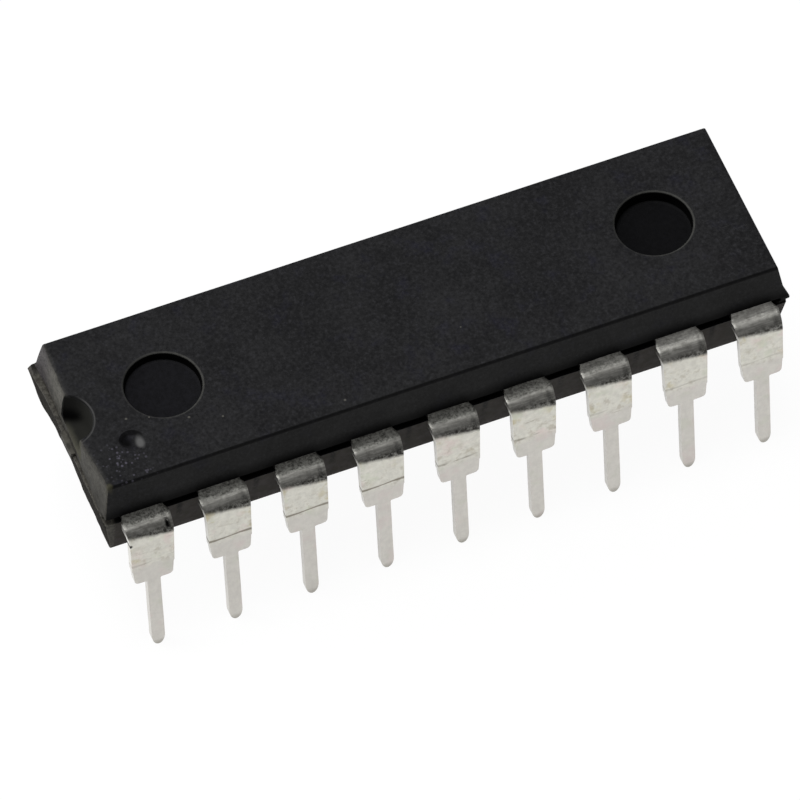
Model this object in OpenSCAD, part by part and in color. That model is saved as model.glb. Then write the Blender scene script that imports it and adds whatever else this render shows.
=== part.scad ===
// Plastic dual in-line chip package with eighteen leads on a 2.54 mm pitch.
// X runs along the block from the notch end to the plain end, Z points up.
// The origin is on the plane of the lead tips, under the middle of the lead pattern.
// Leads 1 to 9 run left to right along the front (-Y), leads 10 to 18 come back along the rear.

/* [Moulded block] */
// How far the upper half reaches past the middle of the end leads, at the parting line
upper_over = 1.145; // [1.1:0.005:1.3]
// How far the lower half reaches past the middle of the end leads, at the parting line
lower_over = 1.205; // [1.1:0.005:1.3]
// Width of the upper half at the parting line
upper_w = 6.46; // [6.2:0.02:6.8]
// Width of the lower half at the parting line
lower_w = 6.46; // [6.2:0.02:6.8]
// Height of the upper half above the parting line
upper_h = 1.37; // [1.2:0.01:1.9]
// Depth of the lower half below the parting line
lower_h = 1.8; // [1.2:0.01:1.9]
// Draft angle of the end walls
end_draft = 8; // [3:0.5:11]
// Draft angle of the upper half's long walls
upper_draft = 13.5; // [3:0.5:15]
// Draft angle of the lower half's long walls
lower_draft = 10.5; // [3:0.5:15]
// Rounding of the block's corners and edges
edge_r = 0.1; // [0.04:0.01:0.16]
// Upright land beside the parting line
land_h = 0.05; // [0.02:0.01:0.1]
// Half of the mismatch of the two mould halves along the block
shift_x = 0.03; // [0:0.01:0.12]
// Half of the mismatch of the two mould halves across the block
shift_y = 0.03; // [0:0.01:0.1]
// Drop of the parting line below the middle of the lead strip
parting_drop = 0.01; // [0:0.01:0.1]
// Depth of the channel between the leads, where the flash was punched out
flash_depth = 0.3; // [0.1:0.02:0.4]
// How far the lip of flash stands out at the plain end
lip_out = 0.085; // [0.02:0.005:0.14]
// Height of that lip
lip_h = 0.36; // [0.1:0.02:0.6]

/* [Marks in the moulding] */
// Diameter of the two ejector marks
eject_d = 2.44; // [1.6:0.02:2.8]
// Distance of each ejector mark's middle from the upper half's end
eject_in = 3.105; // [2.8:0.005:3.6]
// How far both ejector marks sit towards the plain end
eject_off_x = 0.03; // [0:0.01:0.1]
// How far both ejector marks sit towards the rear
eject_off_y = 0.08; // [0:0.01:0.2]
// Depth of the ejector mark at the notch end
eject_depth_notch = 0.32; // [0.1:0.02:0.5]
// Depth of the ejector mark at the plain end
eject_depth_plain = 0.42; // [0.1:0.02:0.5]
// Radius of the end notch at the top face
notch_r = 1; // [0.8:0.01:1.1]
// How far the notch reaches in from the end of the top face
notch_in = 0.55; // [0.4:0.01:0.8]
// Draft angle of the notch's wall
notch_draft = 12; // [0:1:15]
// Plastic left over the tie bar under the notch
notch_cover = 0.15; // [0.06:0.01:0.4]
// Diameter of the dimple beside lead 1
dimple_d = 0.8; // [0.5:0.02:1]
// Depth of the dimple
dimple_depth = 0.12; // [0.05:0.01:0.2]
// Distance of the dimple from the end of the top face
dimple_in = 1.3; // [1.2:0.02:1.6]
// Distance of the dimple from the middle of the block
dimple_y = 1.5; // [1.3:0.02:1.8]

/* [Leads] */
// Distance between neighbouring leads
pitch = 2.54; // [2.5:0.01:2.56]
// Thickness of the strip
strip_t = 0.254; // [0.2:0.002:0.36]
// Straight length of a rear lead between the block and its bend
stub_l = 0.04; // [0.02:0.01:0.3]
// How far forming set the bends of both rows towards the front of the block's middle
form_shift = 0.1; // [0:0.01:0.16]
// Height of the strip's middle over the seating shoulders
stand = 2.29; // [2.2:0.01:2.8]
// Length of the narrow end, from the seating shoulders to the tip
tail_l = 3.16; // [2.92:0.01:3.81]
// Inside radius of the bend
bend_r = 0.3; // [0.2:0.01:0.4]
// Angle by which each lead splays outward
splay = 4.5; // [0:0.5:10]
// Width where the lead leaves the block
exit_w = 1.36; // [1.1:0.02:1.5]
// Width at the start of the bend
crest_w = 1.58; // [1.5:0.02:1.8]
// Width above the cut mark of the dam bar
upper_leg_w = 1.4; // [1.36:0.02:1.48]
// Width at the seating shoulders
shoulder_w = 1.28; // [1:0.02:1.34]
// Step on each side at the cut mark of the dam bar
dam_step = 0.025; // [0.01:0.005:0.03]
// Height of the cut mark over the seating shoulders
dam_z = 0.6; // [0.4:0.02:1]
// Width of the narrow end
tail_w = 0.43; // [0.38:0.01:0.56]
// Rounding of the seating shoulders
shoulder_r = 0.16; // [0.05:0.01:0.2]
// Rounding where the narrow end meets the shoulders
root_r = 0.05; // [0.02:0.01:0.1]
// Length of the rounded tip
tip_h = 0.4; // [0.2:0.02:0.6]

/* [Lead strip inside the block] */
// Length of the die paddle
pad_l = 4.2; // [3.8:0.1:4.4]
// Width of the die paddle
pad_w = 2.9; // [2.7:0.1:3]
// Width of the tie bars at the paddle
tie_w = 0.4; // [0.3:0.02:0.44]
// Width of the tie bars at the ends of the block
tie_end_w = 0.9; // [0.6:0.05:1]
// How far a cut tie bar stands out of the block
tie_proud = 0.01; // [0:0.01:0.05]
// Width of an inner finger
finger_w = 0.3; // [0.2:0.01:0.34]
// Gap between the paddle and the finger ends
finger_gap = 0.25; // [0.2:0.01:0.3]
// Length of the wide root of a finger inside the block
root_l = 0.8; // [0.74:0.01:0.84]
// Diameter of the hole in each root that keys it into the plastic
key_d = 0.36; // [0.2:0.02:0.38]

/* [Die and bond wires] */
// Length of the die
die_l = 2.9; // [2.4:0.1:3.4]
// Width of the die
die_w = 2.1; // [1.7:0.1:2.3]
// Thickness of the die
die_t = 0.3; // [0.25:0.01:0.38]
// Thickness of the adhesive under the die
glue_t = 0.03; // [0.02:0.01:0.05]
// How far the adhesive shows round the die
glue_margin = 0.12; // [0.05:0.01:0.16]
// Diameter of a bond wire
wire_d = 0.032; // [0.025:0.001:0.05]
// Height of a wire's loop over the die
loop_h = 0.2; // [0.12:0.01:0.3]
// Diameter of the ball bond on the die
ball_d = 0.09; // [0.07:0.01:0.12]
// Height of the ball bond
ball_h = 0.03; // [0.02:0.005:0.04]
// Distance of the bonds from the die's edge and from a finger's end
bond_in = 0.16; // [0.12:0.01:0.2]

/* [Hidden] */

// leads in one row, and the number of leads to each side of the middle one
row = 9;
side = (row - 1) / 2;

// lengths of the two halves, and the extreme widths at the parting line
upper_l = 2 * (side * pitch + upper_over);
lower_l = 2 * (side * pitch + lower_over);
widest = max(upper_w, lower_w);
narrowest = min(upper_w, lower_w);

// heights
seat_z = tail_l;
strip_z = seat_z + stand;
strip_top = strip_z + strip_t / 2;
parting_z = strip_z - parting_drop;
top_z = parting_z + upper_h;
die_top = strip_top + glue_t + die_t;

// end of the top face beside the notch
top_end = shift_x - upper_l / 2 + (upper_h - land_h) * tan(end_draft);

// outermost wall beside the leads, and the outer radius of the bend
wall_y = widest / 2 + shift_y;
bend_out = bend_r + strip_t;
// distance of the centre of the bend's radius from the block's middle, for each row
rear_bend = wall_y + stub_l;
front_bend = rear_bend + 2 * form_shift;
bend_z = strip_z - strip_t / 2 - bend_r;

// ends of the tie bars
tie_end = max(lower_l / 2 + shift_x, upper_l / 2 + shift_x + lip_out) + tie_proud;
// length of a tie bar's narrow part, and of the flare to its cut end
tie_neck = 4;
tie_flare = 1;
// root's inner edge in the front row, and the metal left between it and the key hole
root_y = root_l - widest / 2;
key_edge = 0.06;
// spacing of the finger ends along the paddle's long side
fan_share = 0.43;
fan = pad_l / 2 * fan_share;
// place of the finger ends along the paddle's short side: first one from the corner, then the step
side_first = 0.31;
side_fan = 0.62;
// how far the second finger from the middle ends past the paddle's corner
corner_pass = 0.1;
// where the fingers turn towards the paddle: first one from the root, then the step
turn_first = 0.06;
turn_fan = 0.42;
// spacing of the bonds along the die's long side, and their places along its short side
bond_step = die_l / 6;
side_bond_y = [die_w * 0.2, die_w * 0.06];
// share of a wire's span before it turns down to the finger
turn_share = 0.72;
// overlap of pieces that are drawn apart and are one piece of strip
lap = 0.08;
// margin by which cutting shapes pass the surface they cut
over = 0.2;
round_fn = 48;

// Block

// moves what is drawn about the block's middle, so that the lead pattern is about the origin
module on_pattern() {
    translate([0, form_shift, 0]) children();
}

// one drafted half with rounded edges, standing on the parting plane
module mould_half(l, w, h, side_draft) {
    end_inset = (h - land_h) * tan(end_draft);
    side_inset = (h - land_h) * tan(side_draft);
    hull() for (sx = [-1, 1], sy = [-1, 1]) {
        translate([sx * (l / 2 - edge_r), sy * (w / 2 - edge_r), 0])
            cylinder(r = edge_r, h = land_h, $fn = 16);
        translate([sx * (l / 2 - edge_r - end_inset), sy * (w / 2 - edge_r - side_inset), h - edge_r])
            sphere(r = edge_r, $fn = 16);
    }
}

// channel along both long sides, one strip thickness high, where the flash between the leads was punched out
module flash_channel() {
    reach = wall_y + over;
    inner = narrowest / 2 - shift_y - flash_depth;
    for (s = [-1, 1])
        translate([-tie_end - over, s > 0 ? inner : -reach, strip_z - strip_t / 2])
            cube([2 * (tie_end + over), reach - inner, strip_t]);
}

// half-round notch in the end beside lead 1, narrower towards its floor
module end_notch() {
    floor_z = strip_top + notch_cover;
    fall = tan(notch_draft);
    translate([top_end + notch_in - notch_r, 0, floor_z])
        cylinder(
            r1 = notch_r - (top_z - floor_z) * fall,
            r2 = notch_r + over * fall,
            h = top_z - floor_z + over,
            $fn = round_fn
        );
}

// round marks left by the mould's ejector pins
module ejector_mark(end, depth) {
    translate([shift_x + eject_off_x + end * (upper_l / 2 - eject_in), shift_y + eject_off_y, top_z - depth])
        cylinder(d = eject_d, h = depth + over, $fn = round_fn);
}

// dished dimple that marks lead 1: the cap of a sphere that sinks in by the dimple's depth
module pin_one_dimple() {
    ball_r = (pow(dimple_d / 2, 2) + pow(dimple_depth, 2)) / (2 * dimple_depth);
    translate([top_end + dimple_in, -dimple_y, top_z - dimple_depth + ball_r])
        sphere(r = ball_r, $fn = round_fn);
}

// lip of flash that flares out of the upper half along its plain end
module flash_lip() {
    end = upper_l / 2;
    rise = lip_h * tan(end_draft);
    translate([0, upper_w / 2 - edge_r, 0]) rotate([90, 0, 0])
        linear_extrude(height = upper_w - 2 * edge_r)
            polygon([
                [end - over, 0], [end + lip_out, 0], [end + lip_out, land_h],
                [end - rise, lip_h], [end - rise - over, lip_h]
            ]);
}

module block() {
    translate([shift_x, shift_y, parting_z]) {
        mould_half(upper_l, upper_w, upper_h, upper_draft);
        flash_lip();
    }
    translate([-shift_x, -shift_y, parting_z])
        mirror([0, 0, 1]) mould_half(lower_l, lower_w, lower_h, lower_draft);
}

module body() {
    color([0.15, 0.15, 0.155]) on_pattern()
        difference() {
            block();
            flash_channel();
            end_notch();
            ejector_mark(-1, eject_depth_notch);
            ejector_mark(1, eject_depth_plain);
            pin_one_dimple();
            for (k = [-side : side]) {
                front_row(k) strip() finger_plan(k, front_bend);
                rear_row(k) strip() finger_plan(k, rear_bend);
            }
            strip() paddle_plan();
            glue_layer();
            silicon();
            wires();
        }
}

// Lead strip

// lead number k of a row, counted from the row's middle
module front_row(k) {
    translate([k * pitch, 0, 0]) children();
}

module rear_row(k) {
    rotate([0, 0, 180]) front_row(k) children();
}

// a flat outline given the strip's thickness, at the strip's height
module strip() {
    translate([0, 0, strip_z - strip_t / 2])
        linear_extrude(height = strip_t)
            children();
}

// end of the inner finger of lead k, seen from the middle of the block
function finger_end(k) =
    abs(k) < 2 ? [k * fan, -pad_w / 2 - finger_gap]
    : abs(k) == 2 ? [sign(k) * (pad_l / 2 + corner_pass), -pad_w / 2 - finger_gap - finger_w / 2]
    : [sign(k) * (pad_l / 2 + finger_gap), -pad_w / 2 + side_first + (abs(k) - 3) * side_fan];

// height in the plan at which the finger of lead k turns towards the paddle
function turn_y(k) = root_y + turn_first + (abs(k) < 2 ? 0 : (abs(k) - 1) * turn_fan);

// route of the finger of lead k, in the lead's own frame
function finger_route(k) =
    let (tip = finger_end(k) - [k * pitch, 0])
    k == 0 ? [[0, root_y - lap], tip] : [[0, root_y - lap], [0, turn_y(k)], tip];

function unit(v) = v / norm(v);
function left(v) = [-v[1], v[0]];

// sideways step at point i of a route that keeps both edges half a width from its middle
function side_step(route, i, half) =
    let (
        into = i > 0 ? unit(route[i] - route[i - 1]) : unit(route[1] - route[0]),
        out = i < len(route) - 1 ? unit(route[i + 1] - route[i]) : into,
        n = unit(left(into) + left(out))
    )
    n * half / (n * left(into));

// flat band of one width along a route
module band(route, w) {
    n = len(route) - 1;
    polygon(concat(
        [for (i = [0 : n]) route[i] + side_step(route, i, w / 2)],
        [for (i = [n : -1 : 0]) route[i] - side_step(route, i, w / 2)]
    ));
}

// flat blank of a lead from the finger's end out to its bend
module finger_plan(k, bend) {
    difference() {
        polygon([
            [-exit_w / 2, root_y], [-exit_w / 2, -wall_y], [-crest_w / 2, -bend],
            [crest_w / 2, -bend], [exit_w / 2, -wall_y], [exit_w / 2, root_y]
        ]);
        translate([0, root_y - key_edge - key_d / 2]) circle(d = key_d, $fn = 24);
    }
    band(finger_route(k), finger_w);
}

// points of an arc, both ends included
function arc(centre, r, from, to, steps) =
    [for (i = [0 : steps]) let (a = from + (to - from) * i / steps) centre + r * [cos(a), sin(a)]];

// points of the right half of the rounded tip, down to its lowest point
function tip_curve(steps) =
    [for (i = [0 : steps]) let (a = 90 * i / steps) [tail_w / 2 * cos(a), tip_h * (1 - sin(a))]];

// right-hand edge of a lead seen from the front, from the bend down to the tip
function right_edge() = concat(
    [
        [crest_w / 2, strip_top],
        [upper_leg_w / 2 + dam_step, bend_z],
        [upper_leg_w / 2, seat_z + dam_z],
        [upper_leg_w / 2 - dam_step, seat_z + dam_z - dam_step]
    ],
    arc([shoulder_w / 2 - shoulder_r, seat_z + shoulder_r], shoulder_r, 0, -90, 5),
    arc([tail_w / 2 + root_r, seat_z - root_r], root_r, 90, 180, 4),
    tip_curve(9)
);

// whole outline of a lead seen from the front
module front_outline() {
    edge = right_edge();
    last = len(edge) - 1;
    polygon(concat(edge, backwards([for (i = [0 : last - 1]) [-edge[i][0], edge[i][1]]])));
}

// bent and hanging part of a lead in the front row: the folded strip, trimmed to its outline
module formed_leg(bend) {
    intersection() {
        translate([0, -bend, bend_z]) rotate([0, -90, 180]) {
            rotate_extrude(angle = 90 - splay, $fn = round_fn)
                translate([bend_r, -crest_w / 2])
                    square([strip_t, crest_w]);
            rotate([0, 0, 90 - splay])
                translate([bend_r, 0, -crest_w / 2])
                    cube([strip_t, bend_z / cos(splay) + over, crest_w]);
        }
        rotate([90, 0, 0])
            linear_extrude(height = bend + 2 * bend_out)
                front_outline();
    }
}

module lead(k, bend) {
    strip() finger_plan(k, bend);
    formed_leg(bend);
}

// lead by its number: lead 1 is at the notch end of the front row, and the rear row counts back from lead 10
module pin(n) {
    color([0.78, 0.77, 0.73]) on_pattern()
        if (n <= row) front_row(n - 1 - side) lead(n - 1 - side, front_bend);
        else rear_row(n - row - 1 - side) lead(n - row - 1 - side, rear_bend);
}

// quarter of the paddle's outline, from the middle of its long side to the cut end of its tie bar
function paddle_quarter() = [
    [pad_l / 2, pad_w / 2], [pad_l / 2, tie_w / 2], [pad_l / 2 + tie_neck, tie_w / 2],
    [pad_l / 2 + tie_neck + tie_flare, tie_end_w / 2], [tie_end, tie_end_w / 2]
];

// the same points with their signs turned, in order or backwards
function turned(points, sx, sy) = [for (p = points) [sx * p[0], sy * p[1]]];
function backwards(points) = [for (i = [len(points) - 1 : -1 : 0]) points[i]];

// paddle under the die, held by a tie bar to each end of the block
module paddle_plan() {
    quarter = paddle_quarter();
    polygon(concat(
        quarter,
        backwards(turned(quarter, 1, -1)),
        turned(quarter, -1, -1),
        backwards(turned(quarter, -1, 1))
    ));
}

module die_pad() {
    color([0.74, 0.72, 0.66]) on_pattern() strip() paddle_plan();
}

// Die and wires

module glue_layer() {
    translate([-die_l / 2 - glue_margin, -die_w / 2 - glue_margin, strip_top])
        cube([die_l + 2 * glue_margin, die_w + 2 * glue_margin, glue_t]);
}

module silicon() {
    translate([-die_l / 2, -die_w / 2, strip_top + glue_t])
        cube([die_l, die_w, die_t]);
}

module die_attach() {
    color([0.7, 0.7, 0.68]) on_pattern() glue_layer();
}

module die() {
    color([0.35, 0.38, 0.45]) on_pattern() silicon();
}

// place of the bond for lead k near the die's edge
function die_bond(k) =
    abs(k) <= 2 ? [k * bond_step, bond_in - die_w / 2]
    : [sign(k) * (die_l / 2 - bond_in), -side_bond_y[abs(k) - 3]];

// place of the bond near the end of the finger of lead k
function finger_bond(k) =
    let (route = finger_route(k), end = route[len(route) - 1], before = route[len(route) - 2])
    end + [k * pitch, 0] + unit(before - end) * bond_in;

// straight run of wire with six flats
module run(from, to) {
    d = to - from;
    translate(from)
        rotate([0, acos(d[2] / norm(d)), atan2(d[1], d[0])])
            cylinder(d = wire_d, h = norm(d), $fn = 6);
}

// one wire: a ball on the die, a neck, a long span and a steep end that meets the finger
module wire(k) {
    a = die_bond(k);
    b = finger_bond(k);
    turn = a + (b - a) * turn_share;
    crown = die_top + loop_h;
    tip = b + unit(b - a) * wire_d;
    difference() {
        union() {
            translate([a[0], a[1], die_top]) cylinder(d = ball_d, h = ball_h, $fn = 12);
            run([a[0], a[1], die_top + ball_h / 2], [a[0], a[1], crown + wire_d / 4]);
            run([a[0], a[1], crown], [turn[0], turn[1], crown - loop_h / 2]);
            run([turn[0], turn[1], crown - loop_h / 2], [tip[0], tip[1], strip_top - wire_d]);
        }
        translate([b[0] - bond_in, b[1] - bond_in, strip_top - bond_in]) cube([2, 2, 1] * bond_in);
    }
}

module wires() {
    for (k = [-side : side]) {
        wire(k);
        rotate([0, 0, 180]) wire(k);
    }
}

module bond_wires() {
    color([0.9, 0.75, 0.3]) on_pattern() wires();
}

body();
pin(1);  // pin_1
pin(2);  // pin_2
pin(3);  // pin_3
pin(4);  // pin_4
pin(5);  // pin_5
pin(6);  // pin_6
pin(7);  // pin_7
pin(8);  // pin_8
pin(9);  // pin_9
pin(10);  // pin_10
pin(11);  // pin_11
pin(12);  // pin_12
pin(13);  // pin_13
pin(14);  // pin_14
pin(15);  // pin_15
pin(16);  // pin_16
pin(17);  // pin_17
pin(18);  // pin_18
die_pad();
die_attach();
die();
bond_wires();
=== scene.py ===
# %% [markdown]
# # A moulded chip package with eighteen leads
#
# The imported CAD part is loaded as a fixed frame: it holds the true shape in metres, with the plane of
# the lead tips at z = 0, X along the block from the notch end and Z up. Everything made here is laid
# over that frame, so a piece sits where the CAD says and needs no fitting by eye.
#
# The real thing is one black moulding round a stamped strip of tinned metal. Three things make it look
# real: the block's moulding marks, the folded leads with their burnished bends, and the dull light
# that a matt plastic gives back.

# %% Load the frame and keep its box
import math
import bpy
import bmesh
from mathutils import Matrix, Vector, noise


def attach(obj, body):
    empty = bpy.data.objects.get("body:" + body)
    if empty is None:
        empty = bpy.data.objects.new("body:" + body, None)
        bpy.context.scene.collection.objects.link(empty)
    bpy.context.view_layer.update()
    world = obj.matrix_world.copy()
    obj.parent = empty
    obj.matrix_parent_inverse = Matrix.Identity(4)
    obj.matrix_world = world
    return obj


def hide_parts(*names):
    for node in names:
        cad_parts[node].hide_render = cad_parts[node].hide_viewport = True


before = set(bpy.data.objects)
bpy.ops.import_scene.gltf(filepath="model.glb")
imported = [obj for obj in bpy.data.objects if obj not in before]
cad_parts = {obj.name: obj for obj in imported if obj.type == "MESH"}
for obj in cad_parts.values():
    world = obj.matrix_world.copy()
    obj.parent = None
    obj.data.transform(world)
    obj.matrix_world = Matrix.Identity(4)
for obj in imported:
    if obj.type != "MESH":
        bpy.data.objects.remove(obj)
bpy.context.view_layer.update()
MM = 0.001

# %% [markdown]
# ## The camera
#
# The photograph was taken from far away with a long lens, from in front and to the left of the notch
# end, looking steeply down. A point camera was fitted to the lead tips, the block's corners and the
# two round marks. Its three angles, its distance and the place of its axis are all it takes, and
# building the three directions by hand keeps the small roll of the picture exact.

# %% Camera
azimuth, elevation, roll = -0.3718, 0.9450, -0.0130
focal_px, centre_px, px_per_mm = 13692.0, (409.95, 334.29), 32.203
picture_px, sensor_mm = 800, 36.0
distance = focal_px / px_per_mm * MM
fit_origin = Vector((0, 0.04, 5.45)) * MM

back = Vector((
    math.sin(azimuth) * math.cos(elevation),
    -math.cos(azimuth) * math.cos(elevation),
    math.sin(elevation),
))
level_right = Vector((math.cos(azimuth), math.sin(azimuth), 0))
level_up = back.cross(level_right)
right = level_right * math.cos(roll) + level_up * math.sin(roll)
up = level_up * math.cos(roll) - level_right * math.sin(roll)
side_step = (centre_px[0] - picture_px / 2) / focal_px * distance
rise_step = -(centre_px[1] - picture_px / 2) / focal_px * distance

camera = bpy.data.objects.new("camera", bpy.data.cameras.new("camera"))
bpy.context.scene.collection.objects.link(camera)
camera.data.sensor_width = sensor_mm
camera.data.lens = focal_px * sensor_mm / picture_px
place = fit_origin + back * distance - right * side_step - up * rise_step
camera.matrix_world = Matrix.Translation(place) @ Matrix((right, up, back)).transposed().to_4x4()
bpy.context.scene.camera = camera
print("camera at", [round(v, 4) for v in place], "lens", round(camera.data.lens, 1), "mm")

# %% [markdown]
# ## A small language for materials
#
# A finish is a sum of masks: "near the bend", "on the end face", "speckled". Written as node links
# such sums are unreadable, so one small class wraps a socket and gives it Python's arithmetic. Every
# other node comes from one method, which sets the node's own settings first and its sockets next. A
# sheet is any node tree, also the world's, and a finish is the sheet of one material.


# %% The socket class, the sheet and the finish
class Field:
    """One socket of a node tree, with Python's arithmetic."""

    def __init__(self, sheet, socket):
        self.sheet, self.socket = sheet, socket

    def _math(self, operation, *values):
        return self.sheet.node("ShaderNodeMath", {"operation": operation}, values)

    def __add__(self, other):
        return self._math("ADD", self, other)

    def __radd__(self, other):
        return self._math("ADD", other, self)

    def __sub__(self, other):
        return self._math("SUBTRACT", self, other)

    def __rsub__(self, other):
        return self._math("SUBTRACT", other, self)

    def __mul__(self, other):
        return self._math("MULTIPLY", self, other)

    def __rmul__(self, other):
        return self._math("MULTIPLY", other, self)

    def __truediv__(self, other):
        return self._math("DIVIDE", self, other)

    def __rtruediv__(self, other):
        return self._math("DIVIDE", other, self)

    def __pow__(self, other):
        return self._math("POWER", self, other)

    def __neg__(self):
        return self._math("MULTIPLY", self, -1.0)

    def __abs__(self):
        return self._math("ABSOLUTE", self)

    def most(self, other):
        return self._math("MAXIMUM", self, other)

    def root(self):
        return self._math("SQRT", self)

    def sine(self):
        return self._math("SINE", self)

    def whole(self):
        return self._math("ROUND", self)

    def ramp(self, low, high, at_low=0.0, at_high=1.0):
        """Smoothly from at_low where this is low to at_high where it is high."""
        return self.sheet.node(
            "ShaderNodeMapRange", {"interpolation_type": "SMOOTHSTEP"},
            (self, low, high, at_low, at_high),
        )

    def fall(self, low, high):
        """Smoothly from 1 where this is low to 0 where it is high."""
        return self.ramp(low, high, 1.0, 0.0)


class Sheet:
    """A node tree that fields are written on."""

    def __init__(self, tree):
        self.nodes, self.links = tree.nodes, tree.links

    def node(self, kind, settings, inputs, output=0):
        """Adds a node: its settings, then the values or links of its sockets by place or by name."""
        made = self.nodes.new(kind)
        for key, value in settings.items():
            setattr(made, key, value)
        pairs = inputs.items() if isinstance(inputs, dict) else enumerate(inputs)
        for socket, value in pairs:
            if isinstance(value, Field):
                self.links.new(value.socket, made.inputs[socket])
            else:
                made.inputs[socket].default_value = value
        return Field(self, made.outputs[output])


class Finish(Sheet):
    """A material made of fields, with one Principled shader."""

    def __init__(self, name, **constants):
        self.material = bpy.data.materials.new(name)
        self.material.use_nodes = True
        super().__init__(self.material.node_tree)
        self.shader = self.nodes["Principled BSDF"]
        for socket, value in constants.items():
            self.shader.inputs[socket.replace("_", " ")].default_value = value
        self.place = self.node("ShaderNodeTexCoord", {}, (), "Object")
        self.mm = self.node("ShaderNodeVectorMath", {"operation": "SCALE"},
                            {"Vector": self.place, "Scale": 1 / MM})
        self.x = self.node("ShaderNodeSeparateXYZ", {}, (self.mm,), "X")
        self.y = self.node("ShaderNodeSeparateXYZ", {}, (self.mm,), "Y")
        self.z = self.node("ShaderNodeSeparateXYZ", {}, (self.mm,), "Z")
        facing = self.node("ShaderNodeNewGeometry", {}, (), "Normal")
        self.facing = [self.node("ShaderNodeSeparateXYZ", {}, (facing,), axis) for axis in "XYZ"]

    def stretched(self, x, y, z):
        """The place in mm, with each direction multiplied, for patterns longer one way."""
        return self.node("ShaderNodeVectorMath", {"operation": "MULTIPLY"},
                         {0: self.mm, 1: (x, y, z)})

    def clouds(self, scale, detail=3.0, roughness=0.5, place=None, seed=0.0):
        """Soft noise, from 0 to 1, its scale in features a millimetre."""
        return self.node(
            "ShaderNodeTexNoise", {"noise_dimensions": "4D"},
            {"Vector": place or self.mm, "W": seed, "Scale": scale, "Detail": detail,
             "Roughness": roughness}, "Fac")

    def cells(self, scale, place=None, seed=0.0):
        """Distance to the nearest of scattered points, for specks and grains."""
        return self.node(
            "ShaderNodeTexVoronoi", {"voronoi_dimensions": "4D"},
            {"Vector": place or self.mm, "W": seed, "Scale": scale}, "Distance")

    def colour(self, r, g, b):
        """A colour as a screen shows it, 0 to 255, made linear."""
        return (*[(v / 255) ** 2.2 for v in (r, g, b)], 1.0)

    def blend(self, mask, first, second):
        """The first colour where the mask is 0, the second where it is 1."""
        return self.node("ShaderNodeMix", {"data_type": "RGBA"}, {0: mask, 6: first, 7: second}, 2)

    def between(self, mask, first, second):
        """A tone between two screen colours."""
        return self.blend(mask, self.colour(*first), self.colour(*second))

    def over(self, tone, mask, layer):
        """The tone with a screen colour laid over it where the mask is 1."""
        return self.blend(mask, tone, self.colour(*layer))

    def bump(self, height, strength, depth_mm, under=None):
        """Fine relief; under is the relief that it lies on."""
        sockets = {"Height": height, "Strength": strength, "Distance": depth_mm * MM}
        if under is not None:
            sockets["Normal"] = under
        return self.node("ShaderNodeBump", {}, sockets)

    def far(self, x, y):
        """How far a point lies from a place seen from above, in mm."""
        return ((self.x - x) ** 2.0 + (self.y - y) ** 2.0).root()

    def spot(self, x, y, radius, soft=0.5):
        """1 inside a round place seen from above, fading out over the last part of its radius."""
        return self.far(x, y).fall(radius * (1 - soft), radius)

    def set(self, **fields):
        """Links fields to the shader's sockets and gives back the material."""
        for socket, value in fields.items():
            target = self.shader.inputs[socket.replace("_", " ")]
            self.links.new(value.socket, target)
        return self.material


print("finishes are ready to be written as sums")

# %% [markdown]
# ## Shapes that grow from an outline
#
# Nearly everything on this part grew in one direction: the mould opens straight up, so the block and
# every mark in it is a stack of outlines, each a little wider or narrower than the last. One helper
# takes a flat base and extrudes it through such a list, resizing the top each time. It is the same
# few strokes a modeller repeats by hand, and it gives clean rings that can be pushed about later.


# %% Helpers for stacking and cutting
def fresh():
    """Nothing is selected and the next operator starts from a clean slate."""
    if bpy.context.object and bpy.context.object.mode != "OBJECT":
        bpy.ops.object.mode_set(mode="OBJECT")
    bpy.ops.object.select_all(action="DESELECT")


def stack(rings):
    """Extrudes the active object's flat base up through outlines (z, x0, x1, y0, y1) in mm."""
    bpy.ops.object.mode_set(mode="EDIT")
    bpy.ops.mesh.select_all(action="SELECT")
    for last, ring in zip(rings, rings[1:]):
        middle = [(ring[1] + ring[2]) / 2, (ring[3] + ring[4]) / 2]
        before = [(last[1] + last[2]) / 2, (last[3] + last[4]) / 2]
        step = (middle[0] - before[0], middle[1] - before[1], ring[0] - last[0])
        bpy.ops.mesh.extrude_region_move(TRANSFORM_OT_translate={"value": Vector(step) * MM})
        grow = ((ring[2] - ring[1]) / (last[2] - last[1]), (ring[4] - ring[3]) / (last[4] - last[3]), 1)
        bpy.ops.transform.resize(value=grow, center_override=Vector((*middle, ring[0])) * MM)
    bpy.ops.mesh.select_all(action="SELECT")
    bpy.ops.mesh.normals_make_consistent(inside=False)
    bpy.ops.object.mode_set(mode="OBJECT")


def turned(name, x, y, rings, sides=64):
    """A solid of revolution that stands at x, y, through rings of (z, radius) in mm."""
    fresh()
    z, radius = rings[0]
    bpy.ops.mesh.primitive_circle_add(
        vertices=sides, radius=radius * MM, fill_type="NGON", location=Vector((x, y, z)) * MM)
    made = bpy.context.object
    made.name = name
    bpy.ops.object.transform_apply(location=True, rotation=True, scale=True)
    stack([(z, x - r, x + r, y - r, y + r) for z, r in rings])
    return made


def carve(target, cutter, operation="DIFFERENCE"):
    """Cuts the cutter out of the target, or joins it on, and throws the cutter away."""
    fresh()
    target.select_set(True)
    bpy.context.view_layer.objects.active = target
    change = target.modifiers.new("carve", "BOOLEAN")
    change.operation, change.object, change.solver = operation, cutter, "EXACT"
    bpy.ops.object.modifier_apply(modifier=change.name)
    bpy.data.objects.remove(cutter)


def share(value):
    """The value, held between 0 and 1."""
    return max(0.0, min(1.0, value))


print("helpers ready")

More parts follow.
